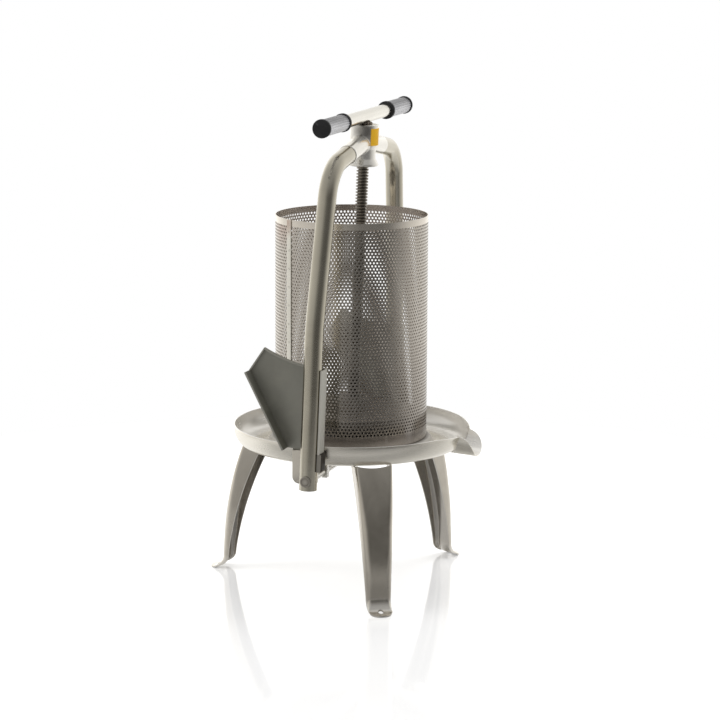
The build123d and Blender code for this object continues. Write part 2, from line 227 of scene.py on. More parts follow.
def cadCopy(node, name):
    # a CAD node's loose triangles as one merged mesh of clean faces
    piece = linkPiece(name, nodes[node].data.copy())
    makeActive(piece)
    bpy.ops.mesh.customdata_custom_splitnormals_clear()
    editAll(piece)
    bpy.ops.mesh.remove_doubles(threshold=1e-6)
    bpy.ops.mesh.dissolve_limited(angle_limit=radians(1.5))
    editDone()
    return piece


def markInside(piece, share):
    # a mask on the mesh for the finish to find, where it paints light or shade
    mask = piece.data.attributes.new("innerWall", "FLOAT", "POINT")
    for vertex in piece.data.vertices:
        mask.data[vertex.index].value = clamp(share(vertex))


def paint(piece, finish):
    piece.data.materials.clear()
    piece.data.materials.append(finish)


def settle(piece, body, slot, finish, *replaced):
    paint(piece, finish)
    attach(piece, body)
    if replaced:
        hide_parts(*replaced)


def settleBoth(model, placeFor, body, slot, finish, node):
    # a copy of the model at the front and one at the back
    for hand, sign in hands.items():
        piece = copyPiece(model, f"{model.name}_{hand}", placeFor(sign))
        settle(piece, body, slot, finish, f"{node}_{hand}")
    bpy.data.objects.remove(model)


# Shared effects

def newGroup(name, inputs, outputs):
    tree = bpy.data.node_groups.new(name, "ShaderNodeTree")
    for label, kind in inputs.items():
        tree.interface.new_socket(label, in_out="INPUT", socket_type="NodeSocket" + kind)
    for label in outputs:
        tree.interface.new_socket(label, in_out="OUTPUT", socket_type="NodeSocketFloat")
    return tree, tree.nodes.new("NodeGroupInput").outputs, tree.nodes.new("NodeGroupOutput").inputs


def feed(tree, socket, source):
    # a number or a colour is set on the socket, and anything else is linked to it
    if isinstance(source, (int, float)):
        socket.default_value = source
    elif isinstance(source, tuple):
        socket.default_value = (*source, 1)
    else:
        tree.links.new(source, socket)


def addNode(tree, kind, links=(), **settings):
    node = tree.nodes.new("ShaderNode" + kind)
    for key, value in settings.items():
        if hasattr(node, key):
            setattr(node, key, value)
        else:
            node.inputs[key].default_value = value
    for socket, source in links:
        feed(tree, node.inputs[socket], source)
    return node


def rangeNode(tree, source, low, high, toLow=0.0, toHigh=1.0):
    node = addNode(tree, "MapRange", [("Value", source), ("From Min", low), ("From Max", high),
                                      ("To Min", toLow), ("To Max", toHigh)])
    return node.outputs["Result"]


def mathNode(tree, operation, first, second):
    return addNode(tree, "Math", [(0, first), (1, second)], operation=operation).outputs["Value"]


def vectorNode(tree, operation, source, other=None, output="Value"):
    node = addNode(tree, "VectorMath", [(0, source)], operation=operation)
    if other is not None:
        node.inputs[1].default_value = other
    return node.outputs[output]


def mixColour(tree, factor, first, second):
    node = addNode(tree, "Mix", data_type="RGBA")
    for number, source in ((0, factor), (6, first), (7, second)):
        feed(tree, node.inputs[number], source)
    return node.outputs[2]


def blend(tree, tone, mask, amount, other):
    return mixColour(tree, mathNode(tree, "MULTIPLY", mask, amount), tone, other)


def rampNode(tree, source, colours):
    node = addNode(tree, "ValToRGB", [("Fac", source)])
    stops = node.color_ramp.elements
    stops.remove(stops[1])
    for number, (position, colour) in enumerate(colours):
        stop = stops[0] if number == 0 else stops.new(position)
        stop.position = position
        stop.color = (*colour, 1)
    return node.outputs["Color"]


def makeGrainGroup():
    # brushed lines: the coordinates come in already stretched along the brushing
    tree, given, put = newGroup("brushedGrain", {"Along": "Vector"}, ["Grain", "Streaks"])
    fine = addNode(tree, "TexNoise", [("Vector", given["Along"])], Scale=1.0, Detail=5.0, Roughness=0.65)
    broad = addNode(tree, "TexNoise", [("Vector", given["Along"])], Scale=0.17, Detail=2.0)
    feed(tree, put["Grain"], fine.outputs["Fac"])
    feed(tree, put["Streaks"], rangeNode(tree, broad.outputs["Fac"], 0.35, 0.68))
    return tree


def makeMarksGroup():
    # handling marks: broad cloudy smudges and small dull specks
    tree, given, put = newGroup("handlingMarks", {"Place": "Vector", "Scale": "Float"}, ["Smudge", "Specks"])
    cloud = addNode(tree, "TexNoise", [("Vector", given["Place"]), ("Scale", given["Scale"])],
                    Detail=4.0, Roughness=0.55, Distortion=0.6)
    dotScale = mathNode(tree, "MULTIPLY", given["Scale"], 11.0)
    dots = addNode(tree, "TexVoronoi", [("Vector", given["Place"]), ("Scale", dotScale)])
    feed(tree, put["Smudge"], rangeNode(tree, cloud.outputs["Fac"], 0.32, 0.7))
    feed(tree, put["Specks"], rangeNode(tree, dots.outputs["Distance"], 0.17, 0.06))
    return tree


def makeRubAndShadeGroup():
    # bright rubbed edges and painted shade in the crevices, from how sharp the surface is
    tree, given, put = newGroup("rubbedEdgesAndCreviceShade", {"Sharpness": "Float"}, ["Rub", "CreviceShade"])
    feed(tree, put["Rub"], rangeNode(tree, given["Sharpness"], 0.51, 0.58))
    feed(tree, put["CreviceShade"], rangeNode(tree, given["Sharpness"], 0.49, 0.43))
    return tree


grainGroup, marksGroup, rubAndShadeGroup = makeGrainGroup(), makeMarksGroup(), makeRubAndShadeGroup()


def groupNode(tree, group, links):
    node = tree.nodes.new("ShaderNodeGroup")
    node.node_tree = group
    for socket, source in links:
        feed(tree, node.inputs[socket], source)
    return node.outputs


def startFinish(name, look):
    # what every finish shares: the place on the piece, the effects, the first tone and the bump
    finish = bpy.data.materials.new(name)
    finish.use_nodes = True
    tree = finish.node_tree
    shader = tree.nodes["Principled BSDF"].inputs
    shader["Specular IOR Level"].default_value = look.get("specular", 0.5)
    place = addNode(tree, "TexCoord").outputs["Object"]
    stretch = addNode(tree, "Mapping", [("Vector", place)], Scale=look["grain"])
    grain = groupNode(tree, grainGroup, [("Along", stretch.outputs["Vector"])])
    marks = groupNode(tree, marksGroup, [("Place", place), ("Scale", look.get("smudgeScale", 22.0))])
    sharp = addNode(tree, "NewGeometry").outputs["Pointiness"]
    rub = groupNode(tree, rubAndShadeGroup, [("Sharpness", sharp)])
    tone = mixColour(tree, marks["Smudge"], look["dark"], look["light"])
    tone = blend(tree, tone, grain["Streaks"], look.get("streak", 0.25), look["dark"])
    bump = addNode(tree, "Bump", [("Height", grain["Grain"])], Strength=look.get("bump", 0.1),
                   Distance=look.get("bumpDepth", 0.0004))
    feed(tree, shader["Normal"], bump.outputs["Normal"])
    return finish, tree, shader, place, grain, marks, rub, tone


def metalFinish(name, **look):
    # steel, casting or plating: two tones through the smudges, brushed lines, rubbed edges
    finish, tree, shader, place, grain, marks, rub, tone = startFinish(name, look)
    metal = look.get("metallic", 1.0)
    mixed = mathNode(tree, "ADD", mathNode(tree, "MULTIPLY", grain["Grain"], 0.5),
                     mathNode(tree, "MULTIPLY", marks["Smudge"], 0.5))
    rough = rangeNode(tree, mixed, 0.25, 0.75, *look["rough"])
    height = addNode(tree, "SeparateXYZ", [("Vector", place)]).outputs["Z"]
    for stain, full, none, amount in look.get("stains", ()):
        # a band of tone up or down the piece, from the height where it is full to where it ends: painted
        # shade on the handle's and the grips' tops, a plain darker or paler band elsewhere
        tone = mixColour(tree, rangeNode(tree, height, none, full, 0.0, amount), tone, stain)
    if "tint" in look:
        # a tint round one place: heat tint on the weld, painted shade on the tray and the head
        away = vectorNode(tree, "DISTANCE", place, look["tintPlace"])
        near = rangeNode(tree, away, look["tintReach"], look.get("tintCore", 0.004), 0.0, 0.85)
        patchy = rangeNode(tree, marks["Smudge"], 0.0, 1.0, look.get("tintLeast", 0.0), 1.0)
        tone = blend(tree, tone, near, patchy, look["tint"])
        if "tintMetal" in look:
            metal = rangeNode(tree, near, 0.0, 0.85, metal, look["tintMetal"])
        if "tintRough" in look:
            rough = mathNode(tree, "MAXIMUM", rough, mathNode(tree, "MULTIPLY", near, look["tintRough"]))
    if "sideTone" in look:
        # one side of the piece, found along a direction, has its own tone and shine: painted light on the
        # stop plate's upright flange, painted shade under the handle, and the buffer's lit front face against
        # its painted shaded sides; on the basket, a paler band at the top
        side = rangeNode(tree, vectorNode(tree, "DOT_PRODUCT", place, look["sideWay"]), *look["sideFrom"])
        tone = mixColour(tree, side, tone, look["sideTone"])
        metal = rangeNode(tree, side, 0.0, 1.0, metal, look["sideMetal"])
    if "insideTone" in look:
        # the inner side of a round piece, found by its distance from the upright axis: painted shade under a
        # pin's head, and the basket's inner side
        level = vectorNode(tree, "MULTIPLY", place, (1, 1, 0), "Vector")
        away = vectorNode(tree, "LENGTH", level)
        inner = rangeNode(tree, away, look["insideFrom"] + 0.0002, look["insideFrom"])
        tone = mixColour(tree, inner, tone, look["insideTone"])
    if "wallTone" in look:
        # painted light on the inner side of the tray's wall and painted shade inside a leg's channel, marked
        # on the mesh
        wall = addNode(tree, "Attribute", attribute_name="innerWall").outputs["Fac"]
        tone = mixColour(tree, wall, tone, look["wallTone"])
        metal = mathNode(tree, "MULTIPLY", metal, rangeNode(tree, wall, 0.0, 1.0, 1.0, look["wallMetal"]))
    tone = blend(tree, tone, marks["Specks"], look.get("specks", 0.1), look["dark"])
    # painted shade in the crevices: a darker copy of the dark tone
    creviceShadeTone = tuple(0.35 * part for part in look["dark"])
    tone = blend(tree, tone, rub["CreviceShade"], look.get("crevice", 0.3), creviceShadeTone)
    tone = blend(tree, tone, rub["Rub"], look.get("rub", 0.35), look.get("rubTone", look["light"]))
    for socket, source in (("Base Color", tone), ("Metallic", metal), ("Roughness", rough)):
        feed(tree, shader[socket], source)
    return finish


def mouldedFinish(name, **look):
    # plastic or film: a fine pebbled skin with paler rubbed patches
    finish, tree, shader, _, grain, _, rub, tone = startFinish(name, look)
    tone = blend(tree, tone, rub["Rub"], look["rub"], look["rubTone"])
    # painted shade in the crevices: a darker copy of the dark tone
    creviceShadeTone = tuple(0.4 * part for part in look["dark"])
    tone = blend(tree, tone, rub["CreviceShade"], look["crevice"], creviceShadeTone)
    feed(tree, shader["Base Color"], tone)
    feed(tree, shader["Roughness"], rangeNode(tree, grain["Grain"], 0.3, 0.7, *look["rough"]))
    return finish


# Finishes: grain is how often the brushed lines come along each axis

# the tint is painted shade on the floor inside and round the basket's foot, with a painted dark reflection of
# the basket; the wall tone is painted light on the wall's inner side
traySteel = metalFinish(
    "traySteel", light=(0.92, 0.88, 0.79), dark=(0.86, 0.82, 0.73), grain=(60, 60, 900), rough=(0.23, 0.29),
    streak=0.2, bump=0.006, smudgeScale=14.0, specks=0.02, rub=0.5, rubTone=(0.97, 0.95, 0.90),
    metallic=0.92, tint=(0.075, 0.062, 0.054), tintPlace=(0, 0, 0.1965), tintReach=0.1165, tintCore=0.1005,
    tintLeast=0.85, tintMetal=0.1, tintRough=0.85, wallTone=(0.99, 0.965, 0.915), wallMetal=0.62)
legSteel = metalFinish(
    "legSteel", light=(0.73, 0.68, 0.595), dark=(0.61, 0.565, 0.49), grain=(700, 700, 40),
    rough=(0.17, 0.26), streak=0.3, bump=0.01, smudgeScale=26.0, specks=0.04, rub=0.45,
    rubTone=(0.86, 0.83, 0.76), stains=(((0.95, 0.92, 0.86), 0.008, 0.021, 0.8),),
    wallTone=(0.50, 0.475, 0.435), wallMetal=1.0)  # paler towards the toes; the wall tone is painted shade inside the channel
tubeSteel = metalFinish(
    "tubeSteel", light=(0.61, 0.575, 0.48), dark=(0.52, 0.485, 0.40), grain=(800, 800, 25),
    rough=(0.19, 0.24), streak=0.25, bump=0.006, smudgeScale=20.0, specks=0.03, rub=0.0, crevice=0.0)
# the side tone is painted light on the upright flange, paler and duller than the sheet
stopSteel = metalFinish(
    "stopSteel", light=(0.42, 0.41, 0.36), dark=(0.335, 0.33, 0.29), grain=(150, 150, 420),
    rough=(0.46, 0.60), streak=0.3, bump=0.06, smudgeScale=30.0, rub=0.5, rubTone=(0.46, 0.45, 0.40),
    metallic=0.85, sideWay=(cos(lean), 0, -sin(lean)), sideFrom=(0.0048, 0.0054),
    sideTone=(0.55, 0.53, 0.47), sideMetal=0.25)
pinSteel = metalFinish(
    "pinSteel", light=(0.36, 0.33, 0.29), dark=(0.27, 0.25, 0.21), grain=(500, 500, 500),
    rough=(0.34, 0.48), metallic=0.8, bump=0.05, rub=0.6, rubTone=(0.60, 0.57, 0.51), crevice=0.7,
    insideTone=(0.05, 0.045, 0.04), insideFrom=0.1879)  # painted shade under the head's face
barSteel = metalFinish(
    "barSteel", light=(0.78, 0.76, 0.71), dark=(0.62, 0.60, 0.54), grain=(900, 40, 900), rough=(0.16, 0.26),
    bump=0.05)
# the tint is painted shade on the boss's front, under the handle
headMetal = metalFinish(
    "headMetal", light=(0.93, 0.905, 0.85), dark=(0.86, 0.835, 0.77), grain=(260, 260, 260),
    rough=(0.17, 0.25), streak=0.12, bump=0.02, bumpDepth=0.0006, smudgeScale=40.0, specks=0.04,
    crevice=0.6, metallic=0.8, tint=(0.14, 0.13, 0.115), tintPlace=(0.0205, -0.0130, 0.601),
    tintReach=0.015, tintCore=0.007, tintLeast=0.7)
nutBronze = metalFinish(
    "nutBronze", light=(0.70, 0.50, 0.26), dark=(0.50, 0.34, 0.16), grain=(500, 500, 80),
    rough=(0.28, 0.42))
screwSteel = metalFinish(
    "screwSteel", light=(0.34, 0.31, 0.265), dark=(0.19, 0.17, 0.14), grain=(300, 300, 500),
    rough=(0.30, 0.46), streak=0.35, bump=0.1, smudgeScale=50.0, rub=0.6, rubTone=(0.50, 0.46, 0.40),
    crevice=0.75)
handleChrome = metalFinish(
    "handleChrome", light=(0.86, 0.84, 0.78), dark=(0.78, 0.76, 0.70), grain=(700, 30, 700),
    rough=(0.14, 0.22), streak=0.15, bump=0.03, rub=0.0, crevice=0.0,
    stains=(((0.46, 0.445, 0.39), 0.6275, 0.6215, 0.8),), sideWay=(0, 0, -1), sideFrom=(-0.6155, -0.6115),
    sideTone=(0.30, 0.27, 0.21), sideMetal=1.0)  # painted shade: duller on top, dark below
# darker and browner towards the bottom
plateSteel = metalFinish(
    "plateSteel", light=(0.52, 0.50, 0.45), dark=(0.38, 0.36, 0.32), grain=(120, 700, 700),
    rough=(0.32, 0.48), streak=0.3, stains=(((0.24, 0.17, 0.14), 0.215, 0.245, 0.5),))
# darker towards the bottom, and darkest in a band at the foot
basketSteel = metalFinish(
    "basketSteel", light=(0.64, 0.60, 0.545), dark=(0.54, 0.505, 0.455), grain=(420, 420, 60),
    rough=(0.18, 0.28), streak=0.2, bump=0.015, smudgeScale=9.0, specks=0.03,
    stains=(((0.10, 0.08, 0.072), 0.205, 0.34, 0.62), ((0.075, 0.06, 0.055), 0.2085, 0.2135, 0.88)),
    tint=(0.45, 0.24, 0.18), tintPlace=(-0.072, -0.069, 0.484), tintReach=0.035, sideWay=(0, 0, 1),
    sideFrom=(0.4808, 0.4826), sideTone=(0.84, 0.78, 0.69), sideMetal=0.92, insideTone=(0.62, 0.565, 0.515),
    insideFrom=0.0993)
seamSteel = metalFinish(
    "seamSteel", light=(0.78, 0.755, 0.68), dark=(0.68, 0.65, 0.575), grain=(500, 500, 40),
    rough=(0.26, 0.36), streak=0.2, metallic=0.7, tint=(0.42, 0.27, 0.20),
    tintPlace=(-0.064, -0.078, 0.487), tintReach=0.022)
weldMetal = metalFinish(
    "weldMetal", light=(0.42, 0.38, 0.32), dark=(0.16, 0.14, 0.12), grain=(400, 400, 400),
    rough=(0.34, 0.55), bump=0.3, smudgeScale=120.0, tint=(0.20, 0.13, 0.10),
    tintPlace=(0.0168, 0.0, 0.610), tintReach=0.02)
# the dark tones are painted shade on the block's sides, and all over the back buffer; the front face, found
# along -Y, takes the lighter tone
bufferSteel = metalFinish(
    "bufferSteel", light=(0.045, 0.038, 0.028), dark=(0.03, 0.025, 0.018), grain=(300, 300, 300),
    rough=(0.50, 0.68), metallic=0.5, bump=0.15, sideWay=(0, -1, 0), sideFrom=(0.1788, 0.1794),
    sideTone=(0.34, 0.32, 0.28), sideMetal=0.4)
gripRib = metalFinish(
    "gripRib", light=(0.98, 0.98, 1.0), dark=(0.50, 0.50, 0.52), grain=(1300, 45, 1300), rough=(0.32, 0.44),
    metallic=0.1, streak=0.6, bump=0.2, rub=0.12, rubTone=(0.6, 0.6, 0.62), crevice=0.9,
    stains=(((0.03, 0.03, 0.034), 0.6265, 0.6165, 0.92),))  # painted shade, darker along the top
gripBlack = mouldedFinish(
    "gripBlack", light=(0.020, 0.020, 0.021), dark=(0.010, 0.010, 0.011), grain=(1100, 1100, 1100),
    rough=(0.50, 0.70), streak=0.2, smudgeScale=60.0, specular=0.3, bump=0.2, bumpDepth=0.0003, rub=0.25,
    rubTone=(0.10, 0.10, 0.10), crevice=0.4)
labelFilm = mouldedFinish(
    "labelFilm", light=(0.95, 0.52, 0.006), dark=(0.87, 0.45, 0.005), grain=(500, 500, 500),
    rough=(0.35, 0.48), streak=0.2, smudgeScale=60.0, specular=0.08, bump=0.05, bumpDepth=0.0003, rub=0.2,
    rubTone=(0.90, 0.62, 0.16), crevice=0.2)
print("finishes ready")


# Basket: one quarter of the perforated sheet, copied round

basketLook = dict(
    radius=0.100, bottom=0.1965, height=0.294, sheet=0.0009, columns=33, rowPairs=33, hole=0.00148,
    sides=12, topMargin=0.0083, turn=0.91, rowShare=0.993)


def bendSheet(sheet, width, radius):
    # wraps a flat sheet round the axis, its middle towards -Y
    applyModifier(sheet, "SIMPLE_DEFORM", deform_method="BEND", deform_axis="Z", angle=width / radius)
    sheet.data.transform(Matrix.Translation((0, -radius, 0)))


def makeBasketPanel(look):
    pitch = look["radius"] * quarter / look["columns"]
    corner = pitch / sqrt(3)  # from a hole's middle to the corner of its six-sided cell
    rowStep = 1.5 * corner * look["rowShare"]
    rows = 2 * look["rowPairs"]
    top = look["bottom"] + look["height"]
    lastRow = top - look["topMargin"] - look["hole"]
    firstRow = lastRow - (rows - 1) * rowStep
    panel = addShape("basketPanel", bpy.ops.mesh.primitive_circle_add, vertices=look["sides"],
                     radius=look["hole"], rotation=(quarter, 0, 0))
    editAll(panel)
    bpy.ops.mesh.extrude_region_move()
    bpy.ops.transform.resize(value=(corner / look["hole"],) * 3, center_override=(0, 0, 0))
    # the rim is twelve-sided now: every second point moves in onto the cell's flat sides
    editSelect(panel, "VERT", lambda v: v.co.length > 0.9 * corner
               and round(degrees(atan2(v.co.z, v.co.x))) % 60 == 0)
    bpy.ops.transform.resize(value=(cos(pi / 6),) * 3, center_override=(0, 0, 0))
    bpy.ops.mesh.select_all(action="SELECT")
    bpy.ops.transform.resize(value=(1, 1, look["rowShare"]), center_override=(0, 0, 0))
    editDone()
    half = (look["columns"] - 0.5) / 2 * pitch
    panel.data.transform(Matrix.Translation((-half, 0, firstRow)))
    for count, step in ((2, (pitch / 2, 0, rowStep)), (look["rowPairs"], (0, 0, 2 * rowStep)),
                        (look["columns"], (pitch, 0, 0))):
        applyModifier(panel, "ARRAY", count=count, use_relative_offset=False, use_constant_offset=True,
                      constant_offset_displace=step)
    editAll(panel)
    bpy.ops.mesh.remove_doubles(threshold=1e-5)
    # plain margins above the last row and below the first
    beyond = 0.4 * corner
    for edgeRow, level in ((lastRow, top), (firstRow, look["bottom"])):
        side = 1 if level > edgeRow else -1
        editSelect(panel, "EDGE", lambda e: e.is_boundary and e.calc_length() > beyond
                   and all(side * (v.co.z - edgeRow) > beyond for v in e.verts))
        bpy.ops.mesh.extrude_region_move(TRANSFORM_OT_translate={"value": (0, 0, side * corner)})
        mesh = bmesh.from_edit_mesh(panel.data)
        for vertex in mesh.verts:
            if vertex.select:
                vertex.co.z = level
        bmesh.update_edit_mesh(panel.data)
    editDone()
    across = [v.co.x for v in panel.data.vertices]
    bendSheet(panel, max(across) - min(across), look["radius"])
    turnOut(panel)
    middle = panel.data.polygons[len(panel.data.polygons) // 2]
    flipIf(panel, middle.normal.dot(Vector((middle.center.x, middle.center.y, 0))) < 0)
    thicken(panel, look["sheet"])
    return smoothByAngle(panel, 40)


basketPanel = makeBasketPanel(basketLook)
basketPanel.data.transform(Matrix.Rotation(radians(basketLook["turn"]), 4, "Z"))
panels = [basketPanel]
for turn in (1, 2, 3):
    panels.append(copyPiece(basketPanel, f"basketPanel_{turn + 1}", Matrix.Rotation(turn * quarter, 4, "Z")))
for panel in panels:
    settle(panel, "basket", "basket_steel", basketSteel, "basket_wall")
print("basket panels", [len(panel.data.polygons) for panel in panels])


# Lapped seam with its spot welds

seamLook = dict(
    angle=-125.4, width=0.0088, sheet=0.0012, strips=10, edge=0.0003, weldGap=0.024, firstWeld=0.6,
    weldRadius=0.0019, weldRise=0.00045, dimple=1.3, stray=0.0006, strayTurn=5.1)


def makeSeam(look, basket):
    deselectAll()
    bpy.ops.mesh.primitive_plane_add(size=1, rotation=(quarter, 0, 0))
    seam = newPiece("basketLap")
    seam.scale = (look["width"], basket["height"], 1)
    seam.location = (0, 0, basket["bottom"] + basket["height"] / 2)
    freezePlace()
    for cut in range(1, look["strips"]):
        editAll(seam)
        bpy.ops.mesh.bisect(plane_co=(look["width"] * (cut / look["strips"] - 0.5), 0, 0), plane_no=(1, 0, 0))
    editDone()
    bendSheet(seam, look["width"], basket["radius"])
    flipIf(seam, seam.data.polygons[0].normal.y > 0)
    thicken(seam, look["sheet"], 1.0)
    roundEdges(seam, look["edge"], 50)
    # one spot weld, then its copies up the strip
    deselectAll()
    bpy.ops.mesh.primitive_uv_sphere_add(segments=20, ring_count=10, radius=look["weldRadius"])
    spot = newPiece("spotWeld")
    spot.scale = (1, look["weldRise"] / look["weldRadius"], 1)
    freezePlace()
    editSelect(spot, "VERT", lambda v: hypot(v.co.x, v.co.z) < 0.5 * look["weldRadius"] and v.co.y < 0)
    bpy.ops.transform.translate(value=(0, look["dimple"] * look["weldRise"], 0))  # the electrode's dimple
    editDone()
    spots = []
    for number in range(int(basket["height"] / look["weldGap"])):
        place = (look["stray"] * sin(look["strayTurn"] * number), -basket["radius"] - look["sheet"],
                 basket["bottom"] + look["weldGap"] * (number + look["firstWeld"]))
        spots.append(copyPiece(spot, f"spotWeld_{number}", Matrix.Translation(place)))
    bpy.data.objects.remove(spot)
    seam = joinPieces("basketLap", seam, *spots)
    seam.data.transform(Matrix.Rotation(radians(look["angle"] + 90), 4, "Z"))
    return smoothByAngle(seam, 40)


settle(makeSeam(seamLook, basketLook), "basket", "basket_steel", seamSteel, "basket_seam")
print("seam done")


# Juice tray: spun, with the lip drawn out of its wall

trayLook = dict(
    floor=0.1965, gutter=0.1845, rim=0.212, rings=(0.03, 0.06, 0.085), floorEdge=0.105, slopeFoot=0.113,
    wallRoot=0.126, bend=0.004, sheet=0.0015, rimEdge=0.0005, square=2.7, wallRows=24, lipSteps=150,
    bowlSteps=232, lipHalf=0.0245, lipCorner=0.0215, lipStart=0.152, lipReach=0.0235, lipFloor=0.1812,
    lipSector=17.0, lipShare=0.75, lipRows=0.5, leastTurn=0.03, foldRows=0.16, foldFrom=0.003, droop=0.0026,
    flare=0.0038, pull=(10.0, 30.0), wallBlend=0.010)


def makeTray(look):
    floor, gutter, rim = look["floor"], look["gutter"], look["rim"]
    root, corner, lipShare = look["wallRoot"], look["lipCorner"], look["lipShare"]
    depth, power, wallRows = rim - gutter, 2 / look["square"], look["wallRows"]

    def wallPoint(share):
        # the wall's line from its foot to the rim: rounder than a corner, squarer than a circle
        turn = quarter * share
        return root + depth * sin(turn) ** power, rim - depth * cos(turn) ** power

    def wallShare(height):
        return acos(max(1 - height / depth, 0) ** (1 / power)) / quarter

    line = [(0, floor), (look["floorEdge"], floor), (look["slopeFoot"], gutter), (root, gutter)]
    floorLine = roundedLine(line, (look["bend"], look["bend"]), 5)
    rings = [(reach, floor) for reach in look["rings"]]
    wall = [wallPoint(row / wallRows) for row in range(wallRows + 1)]
    points = floorLine[:1] + rings + floorLine[1:] + wall[1:]
    sector = radians(look["lipSector"])
    fine = lathe("trayLip", points, look["lipSteps"], -sector, 2 * sector)
    rest = lathe("trayBowl", points, look["bowlSteps"], sector, 2 * (pi - sector))
    tray = joinPieces("juiceBowl", rest, fine)
    mergeAndTurnOut(tray)
    flipIf(tray, tray.data.polygons[0].normal.z < 0)
    # the lip is a channel drawn out of the wall: flat floor, round corners, upright sides
    flat = look["lipHalf"] - corner
    bendRun = corner * quarter
    girth = flat + bendRun + depth - corner
    lastAngle = asin(look["lipHalf"] / (root + depth))
    pullStart, pullEnd = (radians(angle) for angle in look["pull"])
    fold = set()
    for vertex in tray.data.vertices:
        reach, angle = hypot(vertex.co.x, vertex.co.y), atan2(vertex.co.y, vertex.co.x)
        if reach < 1e-4 or abs(angle) > pullEnd:
            continue
        # 0 up to the wall's foot, 1 at the rim
        row = min(range(wallRows + 1), key=lambda number: abs(wall[number][0] - reach)) / wallRows
        split, wallTurn, height, past = 1, 1, 0, 1
        if abs(angle) < sector - 1e-4:
            across = abs(angle) / sector
            past = max(across - lipShare, 0) / (1 - lipShare)
            run = min(across / lipShare, 1) * girth
            turn = min(max((run - flat) / corner, 0), quarter)
            height = corner * (1 - cos(turn)) + max(run - flat - bendRun, 0)
            wallTurn = max(wallShare(height), look["leastTurn"])  # how far up the wall the channel leaves it
            split = look["lipRows"] + (1 - look["lipRows"]) * past
            leave = lastAngle + (sector - lastAngle) * past
            if past == 0:
                leave = asin((min(run, flat) + corner * sin(turn)) / wallPoint(wallTurn)[0])
            leave = copysign(leave, angle)
            foot = (angle + leave) / 2  # the lines fan out below, so that none lie on each other
            angle = foot + (leave - foot) * min(row / split, 1)
        level = vertex.co.z
        if row > 0:
            reach, level = wallPoint(wallTurn * min(row / split, 1))
            # the wall leans out and its rim dips towards the lip
            pull = ease((pullEnd - abs(angle)) / (pullEnd - pullStart))
            pull *= (max(level - gutter, 0) / depth) ** 1.5
            reach, level = reach + look["flare"] * pull, level - look["droop"] * pull
        vertex.co = (reach * cos(angle), reach * sin(angle), level)
        if past == 0 and row > split:
            rise = height / depth
            edge = look["lipStart"] + look["lipReach"] * sqrt(1 - rise ** 2)
            edgeLevel = look["lipFloor"] + (rim - look["droop"] - look["lipFloor"]) * rise
            part = (row - split) / (1 - split)
            vertex.co.x += max(edge - vertex.co.x, 0) * part
            vertex.co.z += (edgeLevel - vertex.co.z) * part
        if past == 0 and row > 0 and abs(row - split) < look["foldRows"] and height > look["foldFrom"]:
            fold.add(vertex.index)
    editSelect(tray, "VERT", lambda v: v.index in fold)
    bpy.ops.mesh.vertices_smooth(factor=0.5, repeat=3)  # softens the fold where the channel leaves the wall
    editDone()
    mergeAndTurnOut(tray, 2e-5)
    flipIf(tray, tray.data.polygons[0].normal.z < 0)
    # the faces that thickening adds last are the rim's: their long edges are rounded
    sheetFaces = len(tray.data.polygons)
    thicken(tray, look["sheet"])
    rimFaces = tray.data.polygons[2 * sheetFaces:]
    rimUse = Counter(key for face in rimFaces for key in face.edge_keys)
    editSelect(tray, "EDGE", lambda e: rimUse[tuple(sorted(v.index for v in e.verts))] == 1)
    bpy.ops.mesh.bevel(offset=look["rimEdge"], segments=3, affect="EDGES")
    editDone()

    def innerShare(vertex):
        # painted light on the wall's inner side: paler and less metallic
        out = vertex.co.to_2d()
        facing = vertex.normal.z - vertex.normal.to_2d().dot(out) / max(out.length, 1e-4)
        return (out.length - root) / look["wallBlend"] if facing > 0.1 else 0

    markInside(tray, innerShare)
    return smoothByAngle(tray, 50)


settle(makeTray(trayLook), "base", "tray_steel", traySteel, "juice_tray")
print("tray done")


# Legs: pressed channels, one modelled and copied round

legLook = dict(
    height=0.183, topRadius=0.142, footRadius=0.1765, topWidth=0.049, footWidth=0.0305, sheet=0.0019,
    edge=0.0005, bend=0.0088, topBend=0.0042, bendGrow=0.075, bendMost=0.75, toeBend=0.0012, flare=0.018,
    toe=0.198, toeRound=0.016, slot=0.0012, slotRise=0.0022, slotEnd=0.46, slotBlend=0.2, across=57,
    along=140, holeRadius=0.186, hole=0.0034, drill=0.04, taper=(8.0, 75.0),
    rear=((0.183, 0.113), (0.105, 0.148), (0.006, 0.170)), faceShare=0.40, bendShare=0.62, toeShare=0.88,
    toeCurl=0.0004, sideFull=0.016, dullFrom=0.2, turns={"front": -60, "back": 60, "left": 180})


